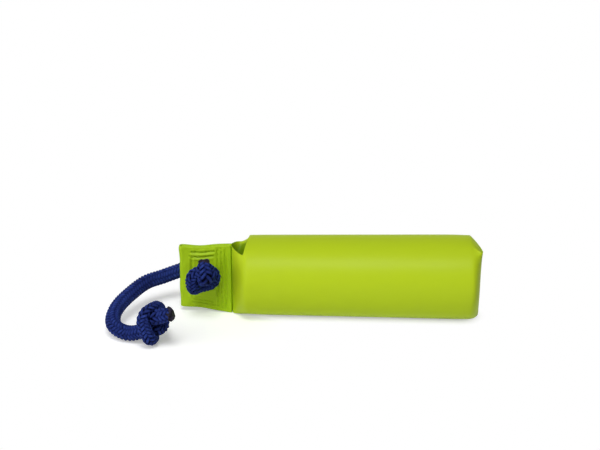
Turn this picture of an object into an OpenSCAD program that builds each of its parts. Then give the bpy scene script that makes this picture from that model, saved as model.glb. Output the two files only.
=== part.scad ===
// Training bumper: a stuffed coated-fabric sleeve with a sewn tab and a knotted throw rope.
// Millimetres. +X points to the closed end, +Y away from the viewer, +Z up.
// The bumper lies on z = 0, and the origin is under the middle of its green body and tab.

/* [Body] */
// Diameter of the stuffed body at the shoulder
shoulder_d = 49.5; // [42:0.5:58]
// Swell of the body's diameter from the shoulder to the closed end
end_swell = 2.5; // [0:0.5:4]
// Length from the shoulder to the closed end
body_l = 144; // [120:1:200]
// Length over which the closed end draws in to its seam
end_round = 7.2; // [5:0.1:12]
// Height of the seam that closes the end, as a share of the end's diameter
end_seam_share = 0.79; // [0.68:0.01:0.84]
// How far that seam has sunk below the axis of the body
end_seam_drop = 3.4; // [0:0.2:4]
// How far the closed end's seam leans back below its upper corner
end_lean = 2.2; // [0:0.2:3]
// Wall of the coated cover
cover_t = 1.2; // [0.8:0.1:2]
// Depth of the flat that the body has settled on
rest_cut = 0.5; // [0.3:0.1:0.8]
// Clearance between the foam core and the cover
core_gap = 0.2; // [0.1:0.05:0.4]

/* [Tab] */
// Length of the flat tab, from its folded edge to the free edge of the flap
tab_l = 32.8; // [28:0.2:42]
// Height of the tab at its folded edge, as a share of the shoulder's diameter
tab_edge_share = 0.815; // [0.7:0.005:0.88]
// Height of the tab at the free edge of the flap, as a share of the shoulder's diameter
tab_root_share = 0.9; // [0.84:0.01:0.94]
// How far the middle of the tab's root hangs below the axis of the body
tab_drop = 2; // [0:0.1:2.4]
// Rise of the folded edge above the middle of the tab's root
tab_rise = 1.3; // [0:0.1:3]
// Thickness of the four fabric layers in one half of the folded tab
panel_t = 2.4; // [1.6:0.1:3]
// Length of the soft neck between the tab and the shoulder
neck_l = 11.2; // [8:0.2:16]
// Share of the neck's way from round to flat where the tab begins
neck_flat = 0.94; // [0.85:0.01:0.96]

/* [Eyelet] */
// Distance of the eyelet from the folded edge
eyelet_in = 16.5; // [14:0.5:20]
// Height of the eyelet above the middle of the tab's root
eyelet_up = 1; // [0:0.1:5]
// Clearance of the rope in the bore, all round
rope_gap = 0.55; // [0.4:0.05:0.8]
// Width of the front flange and of the washer, outside the barrel
flange_w = 1.9; // [1.6:0.1:3]
// Wall of the barrel
eyelet_wall = 0.7; // [0.5:0.1:1]
// Thickness of the flange and of the washer
flange_t = 0.8; // [0.6:0.1:1.2]
// Clearance of the barrel in the fabric and the washer
barrel_gap = 0.1; // [0.05:0.05:0.3]

/* [Rope] */
// Diameter of the free rope
rope_d = 9.5; // [8:0.1:10.5]
// Diameter of a strand in a knot, as a share of the free rope
knot_press = 0.92; // [0.84:0.01:0.96]
// Size of a knot across its axis, as a share of a loosely tied one
knot_across = 0.57; // [0.54:0.01:0.62]
// Size of a knot along its axis, as a share of a loosely tied one
knot_along = 0.45; // [0.42:0.01:0.5]
// Gap between strands that press against each other in a knot
strand_gap = 0.5; // [0.4:0.05:0.8]
// Gap between the stopper knot and the eyelet
knot_gap = 0.4; // [0.3:0.1:1]
// How far the stopper knot rides above the eyelet
stopper_up = 4; // [2:0.2:5]
// Height of the stopper knot's outer bight, as a share of a loosely tied one
stopper_bight = 0.78; // [0.72:0.01:1]
// Turn of the stopper knot about its axis
stopper_roll = 220; // [180:5:240]
// Size of the end knot, as a share of the stopper knot that is pulled tight
end_knot_share = 1.09; // [1:0.01:1.15]
// Slope of the end knot's axis above the floor
end_knot_tilt = 28; // [20:2:36]
// Turn of the end knot's axis away from the front
end_knot_turn = 18; // [10:2:26]
// Turn of the end knot about its axis
end_knot_roll = -26; // [-34:2:-18]
// Length of the melted tip on each end of the rope
tip_l = 2.4; // [1.5:0.1:4]

/* [Hidden] */
$fn = 48;
lime = [0.69, 0.78, 0.18];
lime_shade = [0.58, 0.71, 0.1];
steel = [0.72, 0.72, 0.7];
foam = [0.86, 0.84, 0.76];
navy = [0.13, 0.16, 0.36];
char_grey = [0.19, 0.18, 0.23];

// Diameter of the body where the closed end begins to draw in
end_d = shoulder_d + end_swell;

// Stations along the bumper
green_l = tab_l + neck_l + body_l;
edge_x = -green_l / 2;
root_x = edge_x + tab_l;
shoulder_x = root_x + neck_l;
end_x = green_l / 2;
round_x = end_x - end_round;

// The tab's planes: the sleeve lies on the middle plane and the flap folds over its front
fold_x = edge_x + panel_t;
sleeve_y = panel_t / 2;
front_y = -1.5 * panel_t;

// The hole for the rope
hole_x = edge_x + eyelet_in;
bore_r = rope_d / 2 + rope_gap;
barrel_r = bore_r + eyelet_wall;
flange_r = barrel_r + flange_w;

function mix(a, b, f) = a + (b - a) * f;
function smooth(f) = f * f * (3 - 2 * f);
function unit(v) = v / norm(v);

// The body swells a little towards its closed end and lies on the floor all along
function body_r(x) = mix(shoulder_d, end_d, min(max((x - shoulder_x) / (round_x - shoulder_x), 0), 1)) / 2;
function axis_z(x) = body_r(x) - rest_cut;
tab_z = axis_z(shoulder_x) - tab_drop;
hole_z = tab_z + eyelet_up;

// The sleeve is a tube of constant girth. Where it is sewn flat it keeps a front and a back panel,
// and the spare fabric folds in between them as a gusset above and below.
panel_n = 6;
gusset_n = 4;
function quarter_s(k, h, q) = k < panel_n ? h * k / panel_n : mix(h, q, (k - panel_n) / gusset_n);
function flat_point(s, h, q, t, fold) =
  s <= h ? [t, s] : let (f = (s - h) / (q - h)) [t * (1 - f), h - f * fold];
function section_point(x, s, sy, sz, h, t, w, fold) =
  let (r = body_r(x), q = PI * r / 2, a = 90 * s / q, f = flat_point(s, h, q, t, fold))
  [x, sy * mix(r * cos(a), f[0], w[0]), max(0, axis_z(x) + sz * mix(r * sin(a), f[1], w[1]))];

// One closed ring: front upper quarter, back upper, back lower, front lower.
// The pair w tells how far the ring is flat in its thickness and in its height.
function section(x, w, t, h_top, h_low, fold_top, fold_low) =
  let (q = PI * body_r(x) / 2, m = panel_n + gusset_n)
  concat(
    [for (k = [0:m - 1]) section_point(x, quarter_s(k, h_top, q), -1, 1, h_top, t, w, fold_top)],
    [for (k = [m:-1:1]) section_point(x, quarter_s(k, h_top, q), 1, 1, h_top, t, w, fold_top)],
    [for (k = [0:m - 1]) section_point(x, quarter_s(k, h_low, q), 1, -1, h_low, t, w, fold_low)],
    [for (k = [m:-1:1]) section_point(x, quarter_s(k, h_low, q), -1, -1, h_low, t, w, fold_low)]);

tab_h_edge = tab_edge_share * shoulder_d;
tab_h_root = tab_root_share * shoulder_d;
neck_h_top = tab_h_root / 2 - tab_drop;
neck_h_low = tab_h_root / 2 + tab_drop;
neck_fold_top = PI * shoulder_d / 4 - neck_h_top;
neck_fold_low = PI * shoulder_d / 4 - neck_h_low;
end_seam_h = end_seam_share * end_d;
end_h_top = end_seam_h / 2 - end_seam_drop;
end_h_low = end_seam_h / 2 + end_seam_drop;
end_tuck = 0.5;

function neck_ring(f) =
  section(mix(shoulder_x, root_x, f), neck_flat * smooth(f) * [1, 1], sleeve_y,
          neck_h_top, neck_h_low, neck_fold_top, neck_fold_low);
function body_ring(f) =
  let (h_top = mix(neck_h_top, end_h_top, f), h_low = mix(neck_h_low, end_h_low, f))
  section(mix(shoulder_x, round_x, f), [0, 0], sleeve_y, h_top, h_low, end_tuck, end_tuck);
// The end is blunt in its thickness. In its height it turns in at a soft crease and runs straight to the seam,
// which leans back below its upper corner.
end_blunt = 2.2;
end_crease = 0.4;
function blunt(u) = 1 - pow(1 - pow(u, end_blunt), 1 / end_blunt);
function drawn_in(u) = (1 + end_crease) * u * u / (u + end_crease);
function leaning(z) = 1 - smooth(min(max((z - axis_z(end_x)) / end_h_top, 0), 1));
function end_ring(u) =
  let (w = [blunt(u), drawn_in(u)], x = round_x + end_round * u)
  [for (p = section(x, w, sleeve_y, end_h_top, end_h_low, end_tuck, end_tuck))
    p - [end_lean * smooth(u) * leaning(p[2]), 0, 0]];

// A closed solid through a list of rings with equal counts of points
module loft(rings) {
  m = len(rings);
  n = len(rings[0]);
  points = [for (ring = rings) for (p = ring) p];
  sides = [for (i = [0:m - 2]) for (j = [0:n - 1]) for (tri = [0, 1])
    let (a = i * n + j, b = i * n + (j + 1) % n)
    tri == 0 ? [a, b, b + n] : [a, b + n, a + n]];
  polyhedron(points, concat([[for (j = [n - 1:-1:0]) j]], sides, [[for (j = [0:n - 1]) (m - 1) * n + j]]));
}

// The foam roll: a slim cone along the axis of the body, with rounded rims
core_start = shoulder_x + 3 * core_gap;
core_end = round_x;
core_rim = 9;
core_tilt = atan((axis_z(core_end) - axis_z(core_start)) / (core_end - core_start));
module core_roll(grow, back) {
  r0 = axis_z(core_start) - cover_t + grow;
  r1 = axis_z(core_end) - cover_t + grow;
  l = core_end - core_start + grow;
  rim = [for (a = [0:15:90]) [r1 - core_rim + core_rim * cos(a), l - core_rim + core_rim * sin(a)]];
  translate([core_start, 0, axis_z(core_start)])
    rotate([0, 90 - core_tilt, 0])
      rotate_extrude()
        polygon(concat([[0, -back], [r0, -back]], rim, [[0, l]]));
}

module cover() {
  color(lime)
    difference() {
      loft(concat([for (f = [0:0.25:0.75]) body_ring(f)],
                  [for (u = [0, 0.2, 0.4, 0.6, 0.75, 0.87, 0.95, 0.99, 1]) end_ring(u)]));
      core_roll(core_gap, 2);
    }
}

module foam_core() {
  color(foam) core_roll(0, 0);
}

module neck() {
  color(lime_shade) loft([for (k = [8:-1:0]) neck_ring(k / 8)]);
}

// Outline of the tab between two stations, seen from the front
function tab_top(x) = tab_z + mix(tab_rise + tab_h_edge / 2, tab_h_root / 2, (x - edge_x) / tab_l);
function tab_low(x) = tab_z + mix(tab_rise - tab_h_edge / 2, -tab_h_root / 2, (x - edge_x) / tab_l);
module tab_outline(from_x) {
  rotate([90, 0, 0])
    linear_extrude(8 * panel_t, center = true)
      polygon([[from_x, tab_low(from_x)], [root_x, tab_low(root_x)],
               [root_x, tab_top(root_x)], [from_x, tab_top(from_x)]]);
}
// A length of layered fabric of the profile given, seen from above
module tab_layers(profile) {
  translate([0, 0, tab_z - shoulder_d])
    linear_extrude(2 * shoulder_d)
      polygon(profile);
}
module barrel_hole() {
  translate([hole_x, 4 * panel_t, hole_z])
    rotate([90, 0, 0])
      cylinder(r = barrel_r + barrel_gap, h = 8 * panel_t);
}

module tab_sleeve() {
  color(lime_shade)
    difference() {
      intersection() {
        tab_outline(fold_x);
        tab_layers([[fold_x, -sleeve_y], [root_x, -sleeve_y], [root_x, sleeve_y], [fold_x, sleeve_y]]);
      }
      barrel_hole();
    }
}

// The flap carries the rounded fold along the outer edge
fold_arc = [for (a = [90:15:270]) [fold_x + panel_t * cos(a), -sleeve_y + panel_t * sin(a)]];
module tab_flap() {
  color(lime_shade)
    difference() {
      intersection() {
        tab_outline(edge_x);
        tab_layers(concat(fold_arc, [[root_x, front_y], [root_x, -sleeve_y], [fold_x, -sleeve_y]]));
      }
      barrel_hole();
    }
}

// Pieces of revolution about the bore, with y measured from front to back
module on_bore() {
  translate([hole_x, 0, hole_z]) rotate([-90, 0, 0]) children();
}
washer_y = sleeve_y + flange_t;
roll_t = 0.6;
module eyelet() {
  color(steel)
    on_bore()
      rotate_extrude()
        polygon([[bore_r, front_y - flange_t], [flange_r - 0.6, front_y - flange_t],
                 [flange_r, front_y - flange_t + 0.5], [flange_r, front_y], [barrel_r, front_y],
                 [barrel_r, washer_y], [barrel_r + 1.5, washer_y], [barrel_r + 1.2, washer_y + roll_t],
                 [bore_r, washer_y + roll_t]]);
}
module eyelet_washer() {
  color(steel)
    on_bore()
      rotate_extrude()
        polygon([[barrel_r + barrel_gap, sleeve_y], [flange_r, sleeve_y],
                 [flange_r, washer_y - 0.4], [flange_r - 0.5, washer_y], [barrel_r + barrel_gap, washer_y]]);
}

// Half of an overhand knot, from the top of its outer bight to where the rope leaves it.
// In rope diameters: along the axis, towards the bight, and across.
knot_half = [[0, 2, 0], [0.8, 1.7, 0.3], [1.25, 1.05, 0.8], [1.4, 0.15, 1.2], [1.2, -0.7, 0.85],
             [0.75, -0.88, 0.05], [0.1, -0.4, -0.48], [-0.65, 0.08, -0.4]];
half_n = len(knot_half);
// The other half is the same half turned over about the bight
knot_whole = concat([for (k = [half_n - 1:-1:0]) knot_half[k]],
                    [for (k = [1:half_n - 1]) [-knot_half[k][0], knot_half[k][1], -knot_half[k][2]]]);
function knot_points(centre, along, bight, size, reach) =
  let (across = cross(bight, along))
  [for (p = knot_whole)
    let (rise = p[1] > 0 ? reach * p[1] : p[1])
    centre + size * (knot_along * p[0] * along + knot_across * (rise * bight + p[2] * across))];

strand_r = rope_d * knot_press / 2;
stopper_y = front_y - flange_t - knot_gap - 1.4 * knot_along * rope_d - strand_r;
stopper_at = [hole_x, stopper_y, hole_z + stopper_up];
stopper_way = [sin(stopper_roll), 0, cos(stopper_roll)];
stopper = knot_points(stopper_at, [0, 1, 0], stopper_way, rope_d, stopper_bight);

// The free rope: through the eyelet, round behind the tab, forward past its edge and down to the floor
bore_from = front_y - flange_t - knot_gap / 2;
bore_to = washer_y + roll_t;
floor_z = rope_d / 2 + 0.2;
route = [[hole_x, bore_from, hole_z], [hole_x, bore_to, hole_z], [hole_x - 2, 8, hole_z + 0.2],
         [hole_x - 6.5, 12.5, hole_z + 0.3], [hole_x - 13, 14.5, hole_z - 1], [hole_x - 21, 13, hole_z - 3.3],
         [hole_x - 29, 9, hole_z - 5.1], [hole_x - 38.5, 0, hole_z - 5.7], [hole_x - 46.5, -14, floor_z + 10],
         [hole_x - 51.5, -26, floor_z + 7.4], [hole_x - 53, -36, floor_z + 4.6], [hole_x - 51, -44, floor_z + 2.2],
         [hole_x - 45.5, -48.5, floor_z + 0.6], [hole_x - 38.5, -51, floor_z + 0.8]];

// The end knot lies on the floor at the far end of the loop
end_out = [cos(end_knot_turn), sin(end_knot_turn), 0];
end_along = cos(end_knot_tilt) * end_out + [0, 0, sin(end_knot_tilt)];
end_up = -sin(end_knot_tilt) * end_out + [0, 0, cos(end_knot_tilt)];
end_bight = cos(end_knot_roll) * end_up + sin(end_knot_roll) * cross(end_up, end_along);
floor_gap = 0.2;
end_size = end_knot_share * rope_d;
end_low = min([for (p = knot_points([0, 0, 0], end_along, end_bight, end_size, 1)) p[2]]);
end_at = [hole_x - 25.5, -51.6, strand_r - end_low + floor_gap];
end_knot_pts = knot_points(end_at, end_along, end_bight, end_size, 1);

// The short tails that stick out of the knots; the stopper's is drawn out to a point by the flame
stopper_tail = [stopper_at + [1.4, -6.2, 13], stopper_at + [2, -8.2, 8.8], stopper_at + [2.3, -8.4, 4.4]];
stopper_tail_r = rope_d * [0.31, 0.48, 0.53];
end_tail = [end_at + [1.4, -6.8, 7.2], end_at + [6.2, -8, 8.8], end_at + [11.2, -8.4, 10.2]];
end_tail_r = rope_d * [0.5, 0.5, 0.43];

// One line from the tail of the stopper knot to the tail of the end knot
line = concat(stopper_tail, stopper, route, end_knot_pts, end_tail);
line_r = concat(stopper_tail_r, [for (p = stopper) strand_r], [for (p = route) rope_d / 2],
                [for (p = end_knot_pts) strand_r], end_tail_r);
last = len(line) - 1;
rope_first = len(stopper_tail) + len(stopper);
rope_last = rope_first + len(route) - 1;

// A smooth curve through the points, with more rings in the knots than along the free rope
function rings_after(i) = i >= rope_first && i < rope_last ? 2 : 3;
function ring_of(i) = i == 0 ? 0 : ring_of(i - 1) + rings_after(i - 1);
function curve(a, b, c, d, f) =
  b + (c - a) * f / 2 + (2 * a - 5 * b + 4 * c - d) * f * f / 2 + (3 * b - a - 3 * c + d) * f * f * f / 2;
function along_line(p) =
  concat([for (i = [0:last - 1]) for (k = [0:rings_after(i) - 1])
    curve(p[max(i - 1, 0)], p[i], p[i + 1], p[min(i + 2, last)], k / rings_after(i))], [p[last]]);
mids = along_line(line);
mid_r = along_line(line_r);
rings_n = len(mids);
heads = [for (i = [0:rings_n - 1]) unit(mids[min(i + 1, rings_n - 1)] - mids[max(i - 1, 0)])];

// Each ring's first direction is carried along the line without twist
function square_to(v, head) = unit(v - (v * head) * head);
firsts = [for (i = 0, v = square_to([1, 0, 0], heads[0]); i < rings_n;
  i = i + 1, v = square_to(v, heads[min(i, rings_n - 1)])) v];
rope_sides = 10;

// Strands that meet in a knot press flat against each other: a point of a ring stays on its own side
// of the plane halfway to every other part of the line, less half of the gap that is left between them.
near_n = 3;
function pressed_r(i, way, r) =
  min([r, for (j = [0:rings_n - 1]) if (abs(j - i) > near_n)
    let (to = mids[j] - mids[i], far = norm(to), lean = way * to / far)
    if (lean > 0.05 && far < 4 * r) (far - strand_gap) / 2 / lean]);
function ring_at(i) =
  let (second = cross(firsts[i], heads[i]))
  [for (j = [0:rope_sides - 1])
    let (a = 360 * j / rope_sides, way = cos(a) * firsts[i] + sin(a) * second)
    mids[i] + pressed_r(i, way, mid_r[i]) * way];
rope_rings = [for (i = [0:rings_n - 1]) ring_at(i)];
function stretch(from, to) = [for (i = [from:to]) rope_rings[i]];

module throw_rope() {
  color(navy) loft(stretch(ring_of(rope_first), ring_of(rope_last)));
}

module stopper_knot() {
  color(navy) loft(stretch(0, ring_of(rope_first)));
}

module end_knot() {
  color(navy) loft(stretch(ring_of(rope_last), rings_n - 1));
}

// Both ends of the rope are melted into low domes
module melted_tip(i, out) {
  way = out * heads[i];
  domes = [for (a = [0, 30, 55, 75]) [for (p = rope_rings[i]) mids[i] + cos(a) * (p - mids[i]) + tip_l * sin(a) * way]];
  color(char_grey) loft(out > 0 ? domes : [for (k = [len(domes) - 1:-1:0]) domes[k]]);
}
module sealed_ends() {
  melted_tip(0, -1);
  melted_tip(rings_n - 1, 1);
}

cover();
foam_core();
neck();
tab_sleeve();
tab_flap();
eyelet();
eyelet_washer();
throw_rope();
stopper_knot();
end_knot();
sealed_ends();
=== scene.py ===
# %% [markdown]
# # A training bumper
# A training bumper is a sleeve of coated fabric, stuffed firm, that a dog learns to fetch and
# carry. One end is closed by a seam. The other is pressed flat, folded over and sewn into a tab,
# and a short braided rope runs through an eyelet in the tab, with a knot at each end. The packed
# CAD model is the frame: every mesh below is made in its axes, so a piece lands in its place
# without any fitting by eye.

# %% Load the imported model
import math

import bpy
import numpy as np
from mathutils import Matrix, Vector


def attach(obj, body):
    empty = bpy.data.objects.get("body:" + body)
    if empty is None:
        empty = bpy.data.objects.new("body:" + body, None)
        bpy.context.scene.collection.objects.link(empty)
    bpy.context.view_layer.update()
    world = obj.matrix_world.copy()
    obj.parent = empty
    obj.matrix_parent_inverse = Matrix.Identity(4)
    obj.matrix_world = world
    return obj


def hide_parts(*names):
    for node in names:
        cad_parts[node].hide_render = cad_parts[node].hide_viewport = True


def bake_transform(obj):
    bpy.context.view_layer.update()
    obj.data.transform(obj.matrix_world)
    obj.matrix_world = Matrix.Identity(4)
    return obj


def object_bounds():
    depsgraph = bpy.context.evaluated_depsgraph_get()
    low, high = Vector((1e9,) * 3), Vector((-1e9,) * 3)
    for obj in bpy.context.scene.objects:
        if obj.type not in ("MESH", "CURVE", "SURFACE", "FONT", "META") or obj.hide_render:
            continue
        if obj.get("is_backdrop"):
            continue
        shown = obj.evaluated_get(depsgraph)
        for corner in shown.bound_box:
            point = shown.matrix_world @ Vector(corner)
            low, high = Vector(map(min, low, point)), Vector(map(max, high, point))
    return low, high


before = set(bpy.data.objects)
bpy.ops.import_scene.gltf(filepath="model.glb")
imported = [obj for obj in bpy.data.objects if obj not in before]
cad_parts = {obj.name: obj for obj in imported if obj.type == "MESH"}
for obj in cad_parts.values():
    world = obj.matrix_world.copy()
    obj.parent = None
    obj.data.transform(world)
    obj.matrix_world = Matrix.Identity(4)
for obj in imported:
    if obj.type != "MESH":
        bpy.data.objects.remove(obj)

scene = bpy.context.scene
cad_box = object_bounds()
MM = 0.001
TURN = 2 * math.pi

# %% [markdown]
# The photograph was taken with a long lens, from a little right of square on and about twenty
# degrees above the floor. Setting the camera from two angles, a distance and a point to look at
# keeps those facts readable, which a typed position and rotation would hide.

# %% Camera
CAMERA_TURN, CAMERA_RISE = math.radians(3), math.radians(20)
CAMERA_REACH = 0.873
LOOK_AT = Vector((-0.0187, 0, 0.0579))
LENS, SENSOR = 85, 36


def add_object(name, data):
    """A new object, linked into the scene."""
    made = bpy.data.objects.new(name, data)
    scene.collection.objects.link(made)
    return made


level = math.cos(CAMERA_RISE)
to_camera = Vector((math.sin(CAMERA_TURN) * level, -math.cos(CAMERA_TURN) * level,
                    math.sin(CAMERA_RISE)))
camera = add_object("camera", bpy.data.cameras.new("camera"))
camera.data.lens, camera.data.sensor_width = LENS, SENSOR
camera.location = LOOK_AT + to_camera * CAMERA_REACH
camera.rotation_euler = to_camera.to_track_quat("Z", "Y").to_euler()
scene.camera = camera
print("camera at", [round(x, 3) for x in camera.location])

# %% [markdown]
# A rope is a line first. This one starts at the tail of the stopper knot, goes through the
# overhand knot and the eyelet, turns behind the tab, falls forward to the floor and ends in a
# second overhand knot. The points are those of the CAD model, in millimetres. An overhand knot is
# half a curve and the same half turned over, so eight points are enough for both knots.

# %% The line of an overhand knot
ROPE_D = 9.5
KNOT_PRESS, KNOT_ALONG, KNOT_ACROSS = 0.92, 0.45, 0.57
STRAND_R = KNOT_PRESS * ROPE_D / 2
KNOT_HALF = np.array([[0, 2, 0], [0.8, 1.7, 0.3], [1.25, 1.05, 0.8], [1.4, 0.15, 1.2],
                      [1.2, -0.7, 0.85], [0.75, -0.88, 0.05], [0.1, -0.4, -0.48],
                      [-0.65, 0.08, -0.4]])


def knot_points(centre, along, bight, size, reach=1.0):
    """An overhand knot with its axis along one direction and its outer bight towards another."""
    whole = np.concatenate([KNOT_HALF[::-1], KNOT_HALF[1:] * [-1, 1, -1]])
    across = np.cross(bight, along)
    rise = np.where(whole[:, 1:2] > 0, reach, 1) * whole[:, 1:2]
    return centre + size * (KNOT_ALONG * whole[:, :1] * along
                            + KNOT_ACROSS * (rise * bight + whole[:, 2:] * across))


print("strand in a knot", round(2 * STRAND_R, 2), "mm thick")

# %% [markdown]
# The stopper knot is pulled tight in front of the eyelet, with its axis in line with the hole and
# its outer bight rolled to one side. A short tail stands up in front of it. The knot has crushed
# the tail and the flame has drawn it out, so its points carry radii of their own.

# %% The stopper knot
HOLE = np.array([-77.5, 0, 23.25])
FRONT_Y, BACK_Y = -3.6, 2.6
FLANGE_ROOM, STOPPER_UP = 1.2, 4
STOPPER_BIGHT, STOPPER_ROLL = 0.78, math.radians(220)

knot_reach = KNOT_HALF[:, 0].max() * KNOT_ALONG * ROPE_D
stopper_at = HOLE + [0, FRONT_Y - FLANGE_ROOM - knot_reach - STRAND_R, STOPPER_UP]
stopper_way = np.array([math.sin(STOPPER_ROLL), 0, math.cos(STOPPER_ROLL)])
stopper = knot_points(stopper_at, np.array([0, 1, 0]), stopper_way, ROPE_D, STOPPER_BIGHT)
stopper_tail = stopper_at + [[1.4, -6.2, 13], [2, -8.2, 8.8], [2.3, -8.4, 4.4]]
stopper_tail_r = ROPE_D * np.array([0.34, 0.66, 0.6])
print("stopper knot at", stopper_at.round(1))

# %% [markdown]
# The end knot is a little looser and lies aslant on the floor. Three angles set its axis and its
# bight, and its lowest point then decides how high its middle is.

# %% The end knot
END_TILT, END_TURN, END_ROLL = np.radians([28, 18, -26])
END_SIZE = 1.09 * ROPE_D
END_LEFT, END_FORWARD = 25.5, 51.6
FLOOR_GAP = 0.2

end_out = np.array([math.cos(END_TURN), math.sin(END_TURN), 0])
end_along = math.cos(END_TILT) * end_out + [0, 0, math.sin(END_TILT)]
end_up = -math.sin(END_TILT) * end_out + [0, 0, math.cos(END_TILT)]
end_bight = math.cos(END_ROLL) * end_up + math.sin(END_ROLL) * np.cross(end_up, end_along)
end_low = knot_points(np.zeros(3), end_along, end_bight, END_SIZE)[:, 2].min()
end_at = np.array([HOLE[0] - END_LEFT, -END_FORWARD, STRAND_R - end_low + FLOOR_GAP])
end_knot = knot_points(end_at, end_along, end_bight, END_SIZE)
end_tail = end_at + [[1.4, -6.8, 7.2], [6.2, -8, 8.8], [11.2, -8.4, 10.2]]
end_tail_r = ROPE_D * np.array([0.5, 0.5, 0.43])
print("end knot at", end_at.round(1))

# %% [markdown]
# Between the knots the rope follows listed points: heights near the eyelet hang from the hole,
# and heights near the floor rest on it. A Catmull-Rom curve passes through every point, so the
# solid in the CAD model and the braid made here share one line. It is then cut into even steps,
# because the braid needs a steady count per millimetre.

# %% One even line
BORE_Y = FRONT_Y - 1
FLOOR_Z = ROPE_D / 2 + FLOOR_GAP
STEP = 0.5
hx, hz = HOLE[0], HOLE[2]
route = np.array([
    [hx, BORE_Y, hz], [hx, BACK_Y, hz], [hx - 2, 8, hz + 0.2], [hx - 6.5, 12.5, hz + 0.3],
    [hx - 13, 14.5, hz - 1], [hx - 21, 13, hz - 3.3], [hx - 29, 9, hz - 5.1],
    [hx - 38.5, 0, hz - 5.7], [hx - 46.5, -14, FLOOR_Z + 10], [hx - 51.5, -26, FLOOR_Z + 7.4],
    [hx - 53, -36, FLOOR_Z + 4.6], [hx - 51, -44, FLOOR_Z + 2.2],
    [hx - 45.5, -48.5, FLOOR_Z + 0.6], [hx - 38.5, -51, FLOOR_Z + 0.8]])


def with_radius(points, radius):
    return np.column_stack([points, np.broadcast_to(radius, len(points))])


def smooth_line(points, cuts=24):
    """A Catmull-Rom curve through the points, held at both ends."""
    p = np.concatenate([points[:1], points, points[-1:]])
    f = np.arange(cuts)[:, None] / cuts
    spans = []
    for a, b, c, d in zip(p, p[1:], p[2:], p[3:]):
        spans.append(b + (c - a) * f / 2 + (2 * a - 5 * b + 4 * c - d) * f ** 2 / 2
                     + (3 * b - a - 3 * c + d) * f ** 3 / 2)
    return np.concatenate(spans + [points[-1:]])


def even_line(line, step):
    """The same line at even steps of its length; further columns are carried along."""
    spans = np.linalg.norm(np.diff(line[:, :3], axis=0), axis=1)
    length = np.concatenate([[0], np.cumsum(spans)])
    at = np.linspace(0, length[-1], int(length[-1] / step) + 1)
    return at, np.column_stack([np.interp(at, length, column) for column in line.T])


stretches = [(stopper_tail, stopper_tail_r), (stopper, STRAND_R), (route, ROPE_D / 2),
             (end_knot, STRAND_R), (end_tail, end_tail_r)]
set_points = np.concatenate([with_radius(*stretch) for stretch in stretches])
rope_at, rope_line = even_line(smooth_line(set_points), STEP)
rope_mid, rope_r = rope_line[:, :3], rope_line[:, 3]
print(f"rope line: {rope_at[-1]:.0f} mm in {len(rope_at)} steps")

# %% [markdown]
# To put anything round a line, each step needs two directions square to it. They are carried from
# step to step with as little turning as possible. Worked out afresh from the curve's bend, they
# would flip over where the bend changes side, and the braid would twist there.

# %% Directions square to the line
TINY = 1e-6


def unit(vectors):
    return vectors / np.maximum(np.linalg.norm(vectors, axis=-1, keepdims=True), TINY)


heads = unit(np.gradient(rope_mid, axis=0))
first = np.zeros_like(heads)
carried = np.array([1.0, 0, 0])
for i, head in enumerate(heads):
    carried = unit(carried - (carried @ head) * head)
    first[i] = carried
second = np.cross(heads, first)


def directions(step, angle):
    """Unit directions square to the line, by steps and angles."""
    return np.cos(angle)[..., None] * first[step] + np.sin(angle)[..., None] * second[step]


def round_angles(count):
    return np.arange(count) * TURN / count


print(len(heads), "steps, with two directions each")

# %% [markdown]
# In a tight knot the strands press each other flat. A plain tube would pass through itself there.
# So every direction round the line gets its own radius: a point stays on its own side of the
# plane halfway to any other part of the rope, and on the inside of a bend it stays short of the
# centre of the bend. The result is a table of radii, by step and by angle, that the braid reads.

# %% Radii pressed by the knots
ANGLES = 48
STRAND_GAP, NEAR, REACH_R = 0.3, 8.5, 4
LEAST_LEAN, BEND_SHARE, PRESS_PASSES = 0.05, 0.93, 2


def smooth_grid(grid, passes):
    """Evens out rings of values, round each ring and then from ring to ring."""
    for _ in range(passes):
        grid = (np.roll(grid, 1, 1) + 2 * grid + np.roll(grid, -1, 1)) / 4
        grid[1:-1] = (grid[:-2] + 2 * grid[1:-1] + grid[2:]) / 4
    return grid


bend = np.gradient(heads, axis=0) / STEP
pressed = np.repeat(rope_r[:, None], ANGLES, 1)
for i, middle in enumerate(rope_mid):
    ways = directions(i, round_angles(ANGLES))
    to = rope_mid - middle
    far = np.linalg.norm(to, axis=1)
    others = (np.abs(rope_at - rope_at[i]) > NEAR) & (far < REACH_R * rope_r[i])
    if others.any():
        lean = ways @ (to[others] / far[others, None]).T
        limit = (far[others] - STRAND_GAP) / 2 / np.maximum(lean, LEAST_LEAN)
        limit = np.where(lean > LEAST_LEAN, limit, np.inf)
        pressed[i] = np.minimum(pressed[i], limit.min(axis=1))
    pressed[i] = np.minimum(pressed[i], BEND_SHARE / np.maximum(ways @ bend[i], TINY))
pressed = smooth_grid(pressed, PRESS_PASSES)
print(f"radii from {pressed.min():.2f} to {pressed.max():.2f} mm")

# %% [markdown]
# The braid, its core, the melted tips and the stitches are all closed tubes: rings of points, one
# after another. A curve with a bevel is a tube as well, but an even one. Here the faces follow
# from the order of the points, and each point can carry numbers that its material reads.

# %% Helpers for tubes
def tube_faces(rings, sides, start=0, flip=False):
    """Faces of a closed tube from its rings of points: its sides, then its two ends."""
    i, j = np.meshgrid(np.arange(rings - 1), np.arange(sides), indexing="ij")
    a, b = i * sides + j, i * sides + (j + 1) % sides
    faces = (np.stack([a, b, b + sides, a + sides], -1).reshape(-1, 4) + start).tolist()
    last = start + (rings - 1) * sides
    faces += [list(range(start + sides - 1, start - 1, -1)), list(range(last, last + sides))]
    return [face[::-1] for face in faces] if flip else faces


def add_tube(points, faces, rings, sides, flip=False):
    """Adds one closed tube to the points and faces of a mesh."""
    faces.extend(tube_faces(len(rings) // sides, sides, sum(map(len, points)), flip))
    points.append(rings)


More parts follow.
